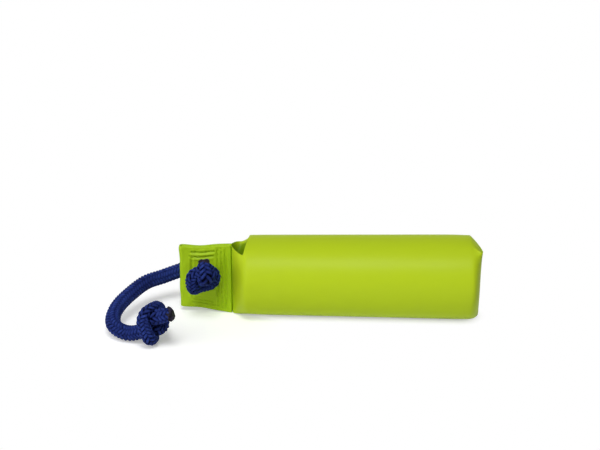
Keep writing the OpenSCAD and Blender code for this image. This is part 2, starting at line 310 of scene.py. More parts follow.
def new_piece(name, points, faces):
    """A smooth-shaded mesh object from points in millimetres."""
    mesh = bpy.data.meshes.new(name)
    mesh.from_pydata((np.asarray(points) * MM).tolist(), [], faces)
    mesh.shade_smooth()
    return add_object(name, mesh)


def keep_values(piece, name, values):
    """Stores one number per point, for the material to read."""
    kept = piece.data.attributes.new(name, "FLOAT", "POINT")
    kept.data.foreach_set("value", np.asarray(values, np.float32))


print("tube helpers ready")

# %% [markdown]
# The rope is braided from sixteen strands, eight winding each way. Each passes over two and under
# two, which gives the short slanted ribs that meet in columns of V shapes. A bump map would leave
# the outline smooth, but the photograph shows a ribbed edge, so each strand is a real ribbon that
# rises and dips as it crosses the others.

# %% One strand of the braid
STRANDS, LEAD = 8, 17.6
MID_R, LIFT = 3.6, 0.58
CROWN_AT = {1: 0.5, -1: 2.5}
FLAT_CROWN, THINNEST = 1.5, 0.35
RIBBON = np.array([[-0.98, -0.15], [-0.66, 0.38], [0.0, 0.6], [0.66, 0.38],
                   [0.98, -0.15], [0.5, -0.45], [-0.5, -0.45]])


def strand_points(way, number):
    """Rings of one strand, how far it stands out, from -1 to 1, and how hard it is pressed."""
    angle = way * TURN * rope_at / LEAD + TURN * number / STRANDS
    crossing = way * 2 * STRANDS * rope_at / LEAD + 2 * number
    over = np.cos(math.pi / 2 * (crossing - CROWN_AT[way]))
    over = np.tanh(FLAT_CROWN * over) / math.tanh(FLAT_CROWN)
    step = np.arange(len(rope_at))
    column = (angle / TURN * ANGLES) % ANGLES
    low, share = column.astype(int) % ANGLES, column - np.floor(column)
    room = pressed[step, low] * (1 - share) + pressed[step, (low + 1) % ANGLES] * share
    scale = (room / (ROPE_D / 2))[:, None]
    out = directions(step, angle)
    line = rope_mid + out * scale * (MID_R + LIFT * over)[:, None]
    ahead = unit(np.gradient(line, axis=0))
    wide = unit(np.cross(ahead, out))
    tall = np.cross(wide, ahead)
    squeeze = np.clip(scale, THINNEST, 1)[:, :, None]
    rings = line[:, None] + squeeze * (RIBBON[:, :1] * wide[:, None]
                                       + RIBBON[:, 1:] * tall[:, None])
    return rings.reshape(-1, 3), over, np.clip(1 - room / rope_r, 0, 1)


print("one rib every", round(LEAD / STRANDS, 1), "mm")

# %% [markdown]
# All strands go into one list of points. Three numbers go with each point: how high it lies in
# the braid, with the upper side of each ribbon counted higher, the tone of its strand, drawn once
# per strand from a fixed seed, and how hard a knot presses it. The colour of the rope follows
# them: the height paints light on the crowns and shade below them, and the pressing paints shade
# in the knots.

# %% All strands of the braid
TONE_SEED, RIBBON_SIDE_SHADE = 7, 0.6

points, faces = [], []
marks = {"lift": [], "tone": [], "crease": []}
rng = np.random.default_rng(TONE_SEED)
for way in (1, -1):
    for number in range(STRANDS):
        rings, over, crease = strand_points(way, number)
        add_tube(points, faces, rings, len(RIBBON))
        # The height, with each ribbon's upper side counted higher, drives painted light and shade.
        marks["lift"].append(np.repeat(over, len(RIBBON)) * 0.5 + 0.5
                             + np.tile(RIBBON[:, 1], len(rope_at)) * RIBBON_SIDE_SHADE)
        marks["tone"].append(np.full(len(rings), rng.uniform(0, 1)))
        marks["crease"].append(np.repeat(crease, len(RIBBON)))
print(len(faces), "faces in the braid")

# %% [markdown]
# Between the strands a core shows, coloured with the braid's deepest painted shade. It follows the
# same table of radii, a little further in, so no daylight passes through the braid. With it the
# whole rope is one mesh, which takes the place of the rope's plain solids.

# %% The core and the finished rope
CORE_SHARE, CORE_SIDES, CORE_EVERY, CORE_TONE = 0.7, 12, 4, 0.5

core_steps = np.unique(np.append(np.arange(0, len(rope_at), CORE_EVERY), len(rope_at) - 1))
core_r = CORE_SHARE * pressed[core_steps][:, ::ANGLES // CORE_SIDES]
core_ways = directions(core_steps[:, None], round_angles(CORE_SIDES))
core = (rope_mid[core_steps][:, None] + core_ways * core_r[..., None]).reshape(-1, 3)
add_tube(points, faces, core, CORE_SIDES)
# The core gets no height and the full crease mark, so it takes the deepest painted shade.
for name, value in [("lift", 0.0), ("tone", CORE_TONE), ("crease", 1.0)]:
    marks[name].append(np.full(len(core), value))

rope = new_piece("throw_rope_braid", np.concatenate(points), faces)
for name, values in marks.items():
    keep_values(rope, name, np.concatenate(values))
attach(rope, "rope")
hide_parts("throw_rope", "stopper_knot", "end_knot")
print(rope.name, len(rope.data.polygons), "faces")

# %% [markdown]
# A cut rope of synthetic fibre is sealed with a flame. The strands run together into a hard,
# dark, uneven cap that is a little wider than the rope. Each cap is a small loft over the last
# ring of the rope, dented by a few waves; a squashed sphere would look like a bead. With its tips
# the rope is complete.

# %% Melted tips
TIP_SIDES, TIP_TALL = 28, 0.88
TIP_PROFILE = [(-2.2, 0.86), (-1.4, 0.97), (-0.5, 1.02), (0.2, 1.0), (0.9, 0.95),
               (1.5, 0.86), (2.0, 0.7), (2.3, 0.48), (2.25, 0.25), (2.1, 0.08)]
TIP_OVAL, TIP_LOBES, TIP_ROUGH, TIP_SLANT = 0.09, 0.06, 0.2, 0.45


def melted_tip(step, way, seed):
    """Rings of one cap, from just inside the end of the rope to its crown."""
    waves = np.random.default_rng(seed).uniform(0, TURN, 3)
    angle = round_angles(TIP_SIDES)
    out = directions(step, angle)
    uneven = (1 + TIP_OVAL * np.sin(2 * angle + waves[0])
              + TIP_LOBES * np.sin(5 * angle + waves[1]))
    rings = []
    for rise, wide in TIP_PROFILE:
        rough = TIP_ROUGH * (np.sin(7 * angle + waves[2] + 2 * rise)
                             + np.sin(3 * angle - 1.7 * rise))
        r = rope_r[step] * wide * uneven + rough * wide
        slant = TIP_SLANT * np.sin(2 * angle + waves[1]) * (rise > 0) * wide
        height = rise * TIP_TALL + slant
        rings.append(rope_mid[step] + out * r[:, None] + way * heads[step] * height[:, None])
    return np.concatenate(rings)


points, faces = [], []
for step, way, seed in [(0, -1, 3), (len(rope_at) - 1, 1, 4)]:
    add_tube(points, faces, melted_tip(step, way, seed), TIP_SIDES, flip=way < 0)
tips = new_piece("melted_tips", np.concatenate(points), faces)
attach(tips, "rope")
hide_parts("sealed_ends")
print("rope length", round(rope_at[-1]), "mm")

# %% [markdown]
# The green sleeve is one tube of cloth with a constant girth. Along the body it is round. Towards
# the tab it is pressed flat: a front and a back panel stay, and the spare cloth folds in between
# them as a gusset, above and below. At the closed end the same thing happens in a short length,
# up to the seam. One rule describes all of it: a point keeps its place along the girth, and a
# share from 0 to 1 mixes the round section with the flat one. The sizes are the CAD model's.

# %% Sizes of the sleeve
EDGE_X, ROOT_X, SHOULDER_X, END_X = -94.0, -61.2, -50.0, 93.0
PANEL_T, END_ROUND = 2.4, 7.2
FOLD_X, ROUND_X = EDGE_X + PANEL_T, END_X - END_ROUND
SHOULDER_R, END_R = 24.75, 26.0
REST_CUT, TAB_DROP = 0.5, 2.0
TAB_CENTRE = SHOULDER_R - REST_CUT
TAB_Z = TAB_CENTRE - TAB_DROP
TAB_H_EDGE, TAB_H_ROOT, TAB_RISE = 40.34, 44.55, 1.3
END_H_TOP, END_H_LOW = 21.0, 22.4


def mix(a, b, f):
    return a + (b - a) * f


def ease(f):
    f = np.clip(f, 0, 1)
    return f * f * (3 - 2 * f)


def body_r(x):
    return mix(SHOULDER_R, END_R, np.clip((x - SHOULDER_X) / (ROUND_X - SHOULDER_X), 0, 1))


def tab_edge(x, side):
    """Height of the tab's upper edge, with side 1, or of its lower edge, with side -1."""
    along_tab = (x - EDGE_X) / (ROOT_X - EDGE_X)
    return TAB_Z + mix(TAB_RISE + side * TAB_H_EDGE / 2, side * TAB_H_ROOT / 2, along_tab)


print("tab from", round(tab_edge(HOLE[0], -1), 1), "to", round(tab_edge(HOLE[0], 1), 1), "mm high")

# %% [markdown]
# A section has four quarters, because the upper and the lower gusset differ, and so do the front
# and the back panel. A quarter runs up a panel, rolls over its edge and goes down into the
# gusset's valley. Round or flat, it has the same points, so all rings join face by face.

# %% One quarter of a section
PANEL_N, ROLL_N, GUSSET_N = 48, 4, 12
LAYER_T, LIP = 1.15, 0.9
SAG_CURVE, DROP_CURVE = 3, 0.7


def quarter(r, thin, flat, t, half, height, valley, sag=0.0, drop=0.0, hold=0.0):
    """One quarter of a section, from the middle of a panel to the valley of the gusset. The panel
    is half wide along the girth, t from the middle plane, and ends up as high as height. Its edge
    hangs by sag and the valley by drop, and hold keeps the edge thick for longer. Gives the
    distance from the middle plane, the height above the middle, the place along the girth, and
    the share of the way into the valley."""
    girth = math.pi * r / 2
    panel = np.arange(PANEL_N) / PANEL_N
    roll = np.arange(ROLL_N) / ROLL_N * math.pi
    deep = np.arange(GUSSET_N + 1) / GUSSET_N
    s_roll = half + LIP
    s = np.concatenate([half * panel, half + LIP * roll / math.pi,
                        s_roll + deep * (girth - s_roll)])
    flat_n = np.concatenate([np.full(PANEL_N, t), t - LIP / 2 + LIP / 2 * np.cos(roll),
                             (t - LIP) * (1 - deep)])
    flat_z = np.concatenate([height * panel, height + LIP / 2 * np.sin(roll),
                             mix(height, valley, deep)])
    inner = np.concatenate([np.zeros(PANEL_N + ROLL_N), deep])
    up_panel = np.minimum(s / half, 1)
    hang = mix(sag * up_panel ** SAG_CURVE, drop, inner ** DROP_CURVE)
    a = s / girth * math.pi / 2
    thin = thin ** (1 + hold * up_panel)
    return mix(r * np.cos(a), flat_n, thin), mix(r * np.sin(a), flat_z, flat) - hang, s, inner


print(PANEL_N + ROLL_N + GUSSET_N, "points in a quarter")

# %% [markdown]
# Four quarters in turn close the ring, every second one read backwards, so that the ring runs
# round once without a jump.

# %% A whole section
RING_N = 4 * (PANEL_N + ROLL_N + GUSSET_N)


def section(r, thin, flat, *quarters):
    """A closed ring from the settings of its quarters: front top, back top, back low and front
    low. It is flat by one share in its thickness and by another in its height."""
    parts = []
    for k, (side_n, side_z) in enumerate([(-1, 1), (1, 1), (1, -1), (-1, -1)]):
        n, z, s, inner = quarter(r, thin, flat, *quarters[k])
        forward = k % 2 == 0
        run = slice(None, -1) if forward else slice(None, 0, -1)
        s = k * math.pi * r / 2 + s if forward else (k + 1) * math.pi * r / 2 - s
        parts.append((side_n * n[run], side_z * z[run], s[run], inner[run]))
    return [np.concatenate(values) for values in zip(*parts)]


print(RING_N, "points round the sleeve")

# %% [markdown]
# The end of the tube is folded forward over itself and sewn down, which makes the tab four layers
# thick. Rows of stitches pull its two halves together: two short rows above the eyelet, two below,
# one to its left, and three long rows beside the free edge of the flap. The sewing also draws in
# the tab's upper and lower edges, and the rows are placed from these.

# %% Rows of stitches
PINCH_X, PINCH_W = -81.0, 8.5
PINCH_TOP, PINCH_LOW = 1.1, 0.9
INSET_TOP, INSET_LOW = 0.3, 0.2


def pinch(x):
    """How far the sewing has drawn in the edges of the tab, from 0 to 1."""
    return np.exp(-((x - PINCH_X) / PINCH_W) ** 2)


def cloth_top(x):
    return tab_edge(x, 1) - PINCH_TOP * pinch(x) - INSET_TOP


def cloth_low(x):
    return tab_edge(x, -1) + PINCH_LOW * pinch(x) + INSET_LOW


LEVEL_ROWS = [(cloth_top, -3.0, -86.4, -71.6), (cloth_top, -6.1, -86.9, -72.2),
              (cloth_low, 3.2, -86.2, -71.8), (cloth_low, 5.0, -85.6, -72.4)]
UPRIGHT_ROWS = [(-69.6, 2.2), (-67.3, 1.8), (-64.9, 1.5), (-85.9, 6.5)]
print(len(LEVEL_ROWS), "level rows and", len(UPRIGHT_ROWS), "upright ones")

# %% [markdown]
# Each row sinks into the cloth, and the cloth puffs up beside it. The depth of this relief is a
# plain function of the place on the tab, shared by the cloth and the threads. A bump map can't
# give that: the threads would float over the groove, or sink into the cloth.

# %% Relief of the tab
RIDGE, RIDGE_OFF, RIDGE_W = 0.3, 1.45, 0.75
GROOVE, GROOVE_W = 0.6, 0.6
ROW_FADE, EDGE_FADE = 0.5, 1.4
RIPPLE, CROSS_RIPPLE = 0.18, 0.1
LEVEL_PUCKER, UPRIGHT_PUCKER = 0.12, 0.25


def row_relief(off, inside):
    """A groove along a row with soft ridges beside it, faded where the row ends."""
    ridges = RIDGE * np.exp(-((np.abs(off) - RIDGE_OFF) / RIDGE_W) ** 2)
    return inside * (ridges - GROOVE * np.exp(-(off / GROOVE_W) ** 2))


def in_row(*rooms):
    """1 along a row and 0 beyond it, from the distances to its two ends."""
    return math.prod(ease((room + ROW_FADE) / (2 * ROW_FADE)) for room in rooms)


def tab_relief(x, z):
    """How far the cloth of the tab stands out from its plain face."""
    out = (RIPPLE * np.sin(x * 0.9 + 0.6) * np.sin(z * 0.23 + 1.0)
           + CROSS_RIPPLE * np.sin(x * 0.37 - z * 0.5))
    for edge, rise, x0, x1 in LEVEL_ROWS:
        pucker = 1 + LEVEL_PUCKER * np.sin(x * 2.3 + rise)
        out = out + row_relief(z - edge(x) - rise, in_row(x - x0, x1 - x)) * pucker
    for row_x, inset in UPRIGHT_ROWS:
        pucker = 1 + UPRIGHT_PUCKER * np.sin(z * 1.9 + row_x)
        inside = in_row(z - cloth_low(x) - inset, cloth_top(x) - inset - z)
        out = out + row_relief(x - row_x, inside) * pucker
    edge_room = np.minimum(cloth_top(x) - z, z - cloth_low(x))
    return out * ease(edge_room / EDGE_FADE)


print("relief at a stitch", round(float(tab_relief(np.array(-67.3), np.array(20.0))), 2), "mm")

# %% [markdown]
# The tab's rings start at the free edge of the flap, which is rounded and whose lower half stands
# off the neck. They go out along the flap, round the fold and back along the rear half. One list
# holds the rings of the whole sleeve in this order.

# %% Rings of the tab
SEWN_GIRTH = math.pi * SHOULDER_R / 2
HEM_L, HEM_THIN, HEM_SHARES = 0.9, 0.92, (0.0, 0.3, 0.65)
EDGE_LIFT, LIFT_L, LIFT_H = 0.7, 6, 6
PANEL_RINGS, FOLD_RINGS = 64, 14
OUTER = 0.98


def valley_at(edge):
    """Height of the gusset's valley under a panel's edge, from what is left of the girth."""
    return 2 * edge + LIP - SEWN_GIRTH


def tab_section(x, t):
    """Section of the flat tube at one place on the tab, with the relief on its outer panel."""
    top, low = cloth_top(x) - TAB_CENTRE, TAB_CENTRE - cloth_low(x)
    upper, lower = [(t, edge, edge, valley_at(edge)) for edge in (top, low)]
    n, z, s, inner = section(SHOULDER_R, 1.0, 1.0, upper, upper, lower, lower)
    z = z + TAB_CENTRE
    n = n + np.where(n > OUTER * t, tab_relief(np.full_like(z, x), z), 0)
    return n, z, s, inner


def edge_lift(x, z):
    """The lower half of the flap's free edge stands off the neck."""
    at_hem = ease((x - ROOT_X + LIFT_L) / LIFT_L)
    return EDGE_LIFT * at_hem * ease((TAB_Z + LIFT_H - z) / (2 * LIFT_H))


hem = [(ROOT_X - HEM_L * f, LAYER_T * math.sqrt(1 - (1 - f) ** 2 * HEM_THIN), 1)
       for f in HEM_SHARES]
flap = [(x, LAYER_T, 1) for x in np.linspace(ROOT_X - HEM_L, FOLD_X, PANEL_RINGS)]
bent = [(FOLD_X, LAYER_T, f) for f in np.linspace(1, 0, FOLD_RINGS)[1:-1]]
rear = [(x, LAYER_T, 0) for x in np.linspace(FOLD_X, ROOT_X, PANEL_RINGS)]
rows = []
for x, t, folded in hem + flap + bent + rear:
    out, side = math.sin(math.pi * folded), math.cos(math.pi * folded)
    n, z, s, inner = tab_section(x - PANEL_T / 2 * out, t)
    reach = PANEL_T / 2 + n
    lift = edge_lift(x, z) if folded == 1 else 0
    rows.append((x - reach * out, -PANEL_T / 2 + reach * side - lift, z, s, inner))
tab_rows = len(rows)
print(tab_rows, "rings in the tab")

# %% [markdown]
# From the tab the sleeve opens through the neck into the round body, and the gusset opens with
# it: that is the dark pocket on top of the neck, in its own shadow and with painted shade deep in
# its fold. The front panel keeps the tab's width almost to the shoulder, while the back one widens
# evenly and sags on its way. All these rings go through one function, which also lets the body
# settle flat where it lies.

# %% Rings of the neck and the body
NECK_RINGS, BODY_RINGS, LOWEST = 44, 72, 0.02
NECK_DEPTH, NECK_HEIGHT = 1.8, 1.6
MOUTH, END_PANEL = 36.0, 30.0
POCKET, POCKET_IN, POCKET_OUT, FOLD_SHADE_FADE = 7.0, 0.25, 0.2, 0.2
FLAP_STEP, STEP_END, FRONT_END = 2.2, 0.03, 0.3
BACK_SAG, BACK_WAIST, LOW_SAG, LOW_WAIST = 5.2, 0.8, 2.0, 1.4
EAR_FROM = -7.0
NECK_TOP, NECK_LOW = cloth_top(ROOT_X) - TAB_CENTRE, TAB_CENTRE - cloth_low(ROOT_X)


def body_row(x, thin, flat, *quarters, fold=0.0, lean=0.0, forward=0.0):
    """Adds a ring. The deep part of the gusset's fold is marked, for the shade painted there. At
    the closed end the ring leans back low down, and it turns forward towards its top."""
    r = body_r(x)
    n, z, s, inner = section(r, thin, flat, *quarters)
    n = n - forward * np.clip((z - EAR_FROM) / (END_H_TOP - EAR_FROM), 0, 1) ** 2
    z = np.maximum(z + r - REST_CUT, LOWEST)
    x = x - lean * (1 - ease((z - r + REST_CUT) / END_H_TOP))
    rows.append((x, n, z, s, np.where(z > r, inner * fold, 0)))


for f in np.linspace(1, 0, NECK_RINGS)[1:]:
    front = mix(MOUTH, NECK_TOP, ease(f / FRONT_END))
    back, low = mix(MOUTH, NECK_TOP, f), mix(MOUTH, NECK_LOW, f)
    t_front = LAYER_T + FLAP_STEP * ease((1 - f) / STEP_END)
    drop = POCKET * ease(f / POCKET_IN) * ease((1 - f) / POCKET_OUT)
    back_sag = BACK_SAG * math.sin(math.pi * f ** BACK_WAIST)
    below = (low, low, valley_at(NECK_LOW), LOW_SAG * math.sin(math.pi * f ** LOW_WAIST))
    body_row(mix(SHOULDER_X, ROOT_X, f), f ** NECK_DEPTH, f ** NECK_HEIGHT,
             (t_front, front, front, valley_at(NECK_TOP), 0, drop),
             (LAYER_T, back, back, valley_at(NECK_TOP), back_sag, drop),
             (LAYER_T, *below), (t_front, *below), fold=ease(f / FOLD_SHADE_FADE))
for f in np.linspace(0, 1, BODY_RINGS)[1:]:
    split = mix(MOUTH, END_PANEL, ease(f))
    body_row(mix(SHOULDER_X, ROUND_X, f), 0.0, 0.0, *[(LAYER_T, split, split, 0)] * 4)
print(len(rows) - tab_rows, "rings in the neck and the body")

# %% [markdown]
# At the closed end the sleeve was sewn inside out and turned, so its two panels roll over and
# meet in a fine groove. The stuffing keeps the end blunt: it stays thick almost to the seam. The
# seam leans a little, and its upper corner, pushed forward by the stuffing, ends in a small ear.

# %% Rings of the closed end
END_RINGS, END_BLUNT, END_CREASE, END_TUCK = 34, 2.6, 0.4, 0.5
SEAM_LEAN, EAR_HOLD, EAR_FORWARD = 0.3, -0.5, 11.0
SEAM_ROLL = [(-0.25, 0.85), (0.05, 0.4), (1.5, 0.15)]


def end_quarters(t, back_in=0.0):
    """Settings of an upper and of a lower quarter whose panels end at the seam."""
    return [(t, END_PANEL, high - back_in, high - back_in - END_TUCK)
            for high in (END_H_TOP, END_H_LOW)]


for u in np.sin(np.linspace(0, math.pi / 2, END_RINGS))[1:]:
    blunt = 1 - (1 - u ** END_BLUNT) ** (1 / END_BLUNT)
    drawn_in = (1 + END_CREASE) * u * u / (u + END_CREASE)
    upper, lower = end_quarters(LAYER_T)
    eared = (*upper, 0, 0, EAR_HOLD)
    body_row(ROUND_X + END_ROUND * u, blunt, drawn_in, eared, eared, lower, lower,
             lean=SEAM_LEAN * ease(u), forward=EAR_FORWARD * drawn_in)
for back_in, t in SEAM_ROLL:
    upper, lower = end_quarters(t, back_in)
    body_row(END_X - back_in, 1.0, 1.0, upper, upper, lower, lower,
             lean=SEAM_LEAN, forward=EAR_FORWARD)
sleeve_grid = np.stack([np.stack(row[:3], -1) for row in rows])
print("sleeve grid", sleeve_grid.shape)

# %% [markdown]
# So far the sleeve is too regular for cloth. A coarse copy of its neck, body and end becomes a
# cloth with a little more fabric than its shape needs and some pressure inside, held at the tab
# and at the seam. In twenty frames it finds its own small dents and swellings. A voxel remesh
# would lose the folds and the cloth coordinates, so the copy thins out the sleeve's own grid.

# %% Cloth under pressure
BAG_STEP, AROUND_STEP, FRAMES = 2.6, 4, 20
HELD_AT_TAB, HELD_AT_SEAM = 3, 2
BAG_CLOTH = {"vertex_group_mass": "held", "quality": 8, "mass": 0.3, "tension_stiffness": 30,
             "compression_stiffness": 30, "shear_stiffness": 10, "bending_stiffness": 0.3,
             "use_pressure": True, "uniform_pressure_force": 4.0, "shrink_min": -0.013}

picked = [tab_rows - 1]
for i in range(tab_rows, len(rows)):
    if np.linalg.norm(sleeve_grid[i] - sleeve_grid[picked[-1]], axis=1).mean() > BAG_STEP:
        picked.append(i)
bag_grid = sleeve_grid[picked][:, ::AROUND_STEP]
bag_rows, bag_n = bag_grid.shape[:2]
bag = new_piece("bag", bag_grid.reshape(-1, 3), tube_faces(bag_rows, bag_n, flip=True))
held = bag.vertex_groups.new(name="held")
held.add([*range(HELD_AT_TAB * bag_n),
          *range((bag_rows - HELD_AT_SEAM) * bag_n, bag_rows * bag_n)], 1.0, "REPLACE")

bag_cloth = bag.modifiers.new("cloth", "CLOTH")
for name, value in BAG_CLOTH.items():
    setattr(bag_cloth.settings, name, value)
bag_cloth.settings.effector_weights.gravity = 0
bag_cloth.collision_settings.use_collision = False
for number in range(1, FRAMES + 1):
    scene.frame_set(number)
settled = np.empty(bag_grid.size, np.float32)
bag_mesh = bag.evaluated_get(bpy.context.evaluated_depsgraph_get()).data
bag_mesh.vertices.foreach_get("co", settled)
bpy.data.objects.remove(bag)
scene.frame_set(1)
print("cloth settled on", bag_rows, "rings of", bag_n, "points")

# %% [markdown]
# The moves of the coarse cloth are capped, faded out towards the tab and the seam, and carried
# over to the fine rings between them. A few passes of smoothing take out the steps.

# %% The moves on the fine rings
MOVE_CAP, MOVE_PASSES = 1.2, 6
FREE_FROM, FREE_TO, FREE_FADE = -58.0, 88.0, 14.0

bag_x = bag_grid[..., :1]
move = settled.reshape(bag_grid.shape) / MM - bag_grid
moved = np.linalg.norm(move, axis=2, keepdims=True)
free = ease((bag_x - FREE_FROM) / FREE_FADE) * ease((FREE_TO - bag_x) / FREE_FADE)
move *= free * np.minimum(1, MOVE_CAP / np.maximum(moved, TINY))

fine_rows = np.arange(tab_rows - 1, len(rows))
before = np.clip(np.searchsorted(picked, fine_rows, "right") - 1, 0, bag_rows - 2)
picked_at = np.take(picked, before)
past = np.clip((fine_rows - picked_at) / (np.take(picked, before + 1) - picked_at), 0, 1)
fine_move = mix(move[before], move[before + 1], past[:, None, None])
spoke, past = np.divmod(np.arange(RING_N), AROUND_STEP)
fine_move = mix(fine_move[:, spoke], fine_move[:, (spoke + 1) % bag_n],
                (past / AROUND_STEP)[:, None])
fine_move = smooth_grid(fine_move, MOVE_PASSES)
sleeve_grid[fine_rows] += fine_move
sleeve_grid[..., 2] = np.maximum(sleeve_grid[..., 2], LOWEST)
print(f"cloth moved by {moved.mean():.2f} mm, fine rings by"
      f" {np.linalg.norm(fine_move, axis=2).max():.2f} mm at most")

# %% [markdown]
# The rings become one mesh. Its cloth coordinates are lengths in metres, along the sleeve and
# round its girth, so that a weave made from them keeps its size and follows the folds. The sleeve
# crosses the joint at the neck.

# %% The sleeve as one mesh
ring_gaps = np.linalg.norm(np.diff(sleeve_grid, axis=0), axis=2).mean(axis=1)
along = np.concatenate([[0], np.cumsum(ring_gaps)])
girth_at = np.stack([row[3] for row in rows])
around = np.concatenate([girth_at, girth_at[:, :1] + TURN * body_r(0)], 1)
cloth_uv = np.stack([np.repeat(along[:, None], RING_N + 1, 1), around], -1) * MM
corners = np.stack([cloth_uv[1:, :-1], cloth_uv[1:, 1:], cloth_uv[:-1, 1:], cloth_uv[:-1, :-1]], 2)
end_corners = np.zeros((2 * RING_N, 2))

sleeve = new_piece("sleeve", sleeve_grid.reshape(-1, 3), tube_faces(len(rows), RING_N, flip=True))
# How deep each point lies in the gusset's fold, for the shade painted there.
keep_values(sleeve, "fold", np.concatenate([row[4] for row in rows]))
layer = sleeve.data.uv_layers.new(name="cloth")
all_corners = np.concatenate([corners.reshape(-1, 2), end_corners])
layer.data.foreach_set("uv", all_corners.astype(np.float32).ravel())
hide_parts("cover", "neck", "tab_sleeve", "tab_flap")
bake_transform(sleeve)
print(sleeve.name, len(sleeve.data.polygons), "faces")

# %% [markdown]
# The stitches are real thread: short bars of a round section that come up through the cloth, lie
# along the groove and go down again. An array of one bar would not follow the relief under it.
# All rows go through the whole tab, so they show on the back as well.

# %% One stitch
THREAD_R, THREAD_TAPER = 0.27, 0.25
STITCH_ARCH, STITCH_SUNK = 0.34, 0.16
THREAD_SIDES, THREAD_RINGS = 6, 6


def face_point(x, z, face):
    """A point on the outer cloth of the tab: face -1 is the flap in front, 1 the sleeve behind."""
    relief = float(tab_relief(np.array(x), np.array(z)))
    if face < 0:
        return np.array([x, -PANEL_T - LAYER_T - relief - float(edge_lift(x, z)), z])
    return np.array([x, LAYER_T + relief, z])


def stitch(start, end, out):
    """Rings of one stitch that arches between two points of the cloth."""
    side = np.cross(unit(end - start), out)
    rings = []
    for f in np.linspace(0, 1, THREAD_RINGS):
        arch = math.sin(math.pi * f)
        mid = mix(start, end, f) + out * (STITCH_ARCH * arch - STITCH_SUNK)
        r = THREAD_R * (1 - THREAD_TAPER + THREAD_TAPER * arch)
        for a in round_angles(THREAD_SIDES):
            rings.append(mid + r * (math.cos(a) * side + math.sin(a) * out))
    return np.array(rings)


print("thread", 2 * THREAD_R, "mm thick")

# %% [markdown]
# Each row is divided into equal stitches with a short gap after each. The ends of the rows come
# from the same lists as the relief, so the threads lie in their grooves. One mesh holds them all.

# %% Threads of the tab
STITCH_L, STITCH_GAP = 2.3, 0.75
STITCH_PITCH = STITCH_L + STITCH_GAP


def row_ends():
    """Start and end of every row of stitches, as places on the tab."""
    for edge, rise, x0, x1 in LEVEL_ROWS:
        yield [np.array([x, edge(x) + rise]) for x in (x0, x1)]
    for x, inset in UPRIGHT_ROWS:
        yield [np.array([x, z]) for z in (cloth_low(x) + inset, cloth_top(x) - inset)]


points, faces = [], []
for row_start, row_end in row_ends():
    count = max(2, int(np.linalg.norm(row_end - row_start) / STITCH_PITCH))
    for k in range(count):
        a, b = [mix(row_start, row_end, at / count) for at in (k, k + STITCH_L / STITCH_PITCH)]
        for face in (-1, 1):
            rings = stitch(face_point(*a, face), face_point(*b, face), np.array([0, face, 0]))
            add_tube(points, faces, rings, THREAD_SIDES, flip=True)
threads = new_piece("tab_threads", np.concatenate(points), faces)
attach(threads, "tab")
print(len(points), "stitches")

# %% [markdown]
# Materials come next. A node tree written out node by node is hard to read, so one small class
# wraps a socket and lets Python's operators make the Math nodes. Anything else goes through its
# one method, which sets a node's settings first and then fills or links its sockets.

# %% A socket that can be calculated with
class Sock:
    def __init__(self, tree, socket=None):
        self.tree, self.socket = tree, socket

    def node(self, kind, settings=(), inputs=(), out=0):
        made = self.tree.nodes.new("ShaderNode" + kind)
        for name, value in dict(settings).items():
            setattr(made, name, value)
        for name, value in dict(inputs).items():
            if isinstance(value, Sock):
                self.tree.links.new(value.socket, made.inputs[name])
            else:
                made.inputs[name].default_value = value
        return Sock(self.tree, made.outputs[out])

    def math(self, operation, a, b=0.0):
        return self.node("Math", {"operation": operation}, {0: a, 1: b})

    def __add__(self, other):
        return self.math("ADD", self, other)

    def __sub__(self, other):
        return self.math("SUBTRACT", self, other)

    def __rsub__(self, other):
        return self.math("SUBTRACT", other, self)

    def __mul__(self, other):
        return self.math("MULTIPLY", self, other)

    def __pow__(self, other):
        return self.math("POWER", self, other)

    __radd__, __rmul__ = __add__, __mul__


print("socket class ready")

# %% [markdown]
# The finishes share a few things: a noise that stays with the piece, a number stored with the
# mesh, a mix of two colours, a bump. Each is a short function. A finish starts as an empty tree
# and ends in one principled surface.

# %% Helpers for finishes
def noise(start, scale, detail=2.0):
    place = start.node("TexCoord", out="Object")
    return start.node("TexNoise", (), {"Vector": place, "Scale": scale, "Detail": detail})


def stored(start, name):
    return start.node("Attribute", {"attribute_name": name}, (), 2)


def axis_of(vector, number):
    return vector.node("SeparateXYZ", (), {0: vector}, number)


def smooth_range(value, low, high):
    """0 below low and 1 above high, or the other way round where low is the larger."""
    return value.node("MapRange", {"interpolation_type": "SMOOTHSTEP"}, {0: value, 1: low, 2: high})


def blend_colours(share, a, b):
    return share.node("Mix", {"data_type": "RGBA"}, {0: share, 6: a, 7: b}, 2)


def bump(height, strength, distance):
    return height.node("Bump", (), {"Strength": strength, "Distance": distance, "Height": height})


def new_finish(name):
    """An empty material and a socket to start its expressions from."""
    material = bpy.data.materials.new(name)
    material.use_nodes = True
    material.node_tree.nodes.clear()
    return material, Sock(material.node_tree)


def close_tree(surface, kind="OutputMaterial"):
    end = surface.tree.nodes.new("ShaderNode" + kind)
    surface.tree.links.new(surface.socket, end.inputs["Surface"])


def close_finish(start, **sockets):
    """Ends a finish; underscores stand for the spaces in the sockets' names."""
    inputs = {name.replace("_", " "): value for name, value in sockets.items()}
    close_tree(start.node("BsdfPrincipled", (), inputs))


print("finish helpers ready")

# %% [markdown]
# The cover is tightly woven nylon with a thin coat: a soft, broad shine, an even lime green and a
# weave that only shows close up. The weave is calculated from the cloth's own coordinates in
# metres, so its threads keep their size. Slow noise keeps the colour and the shine from looking
# printed. The tab's green is a shade deeper. Deep in the fold of the gusset the colour is darkened
# to a painted shade, where the pocket lies in shadow.

# %% Coated fabric
LIME, LIME_SHADE = (0.47, 0.61, 0.014, 1), (0.375, 0.575, 0.009, 1)
LIME_PATCH, LIME_GAP = (0.33, 0.5, 0.012, 1), (0.2, 0.33, 0.006, 1)
LIME_FOLD_SHADE = (0.075, 0.19, 0.001, 1)
THREAD_PITCH = 0.00052
TAB_FROM, TAB_TO = -0.0585, -0.0615

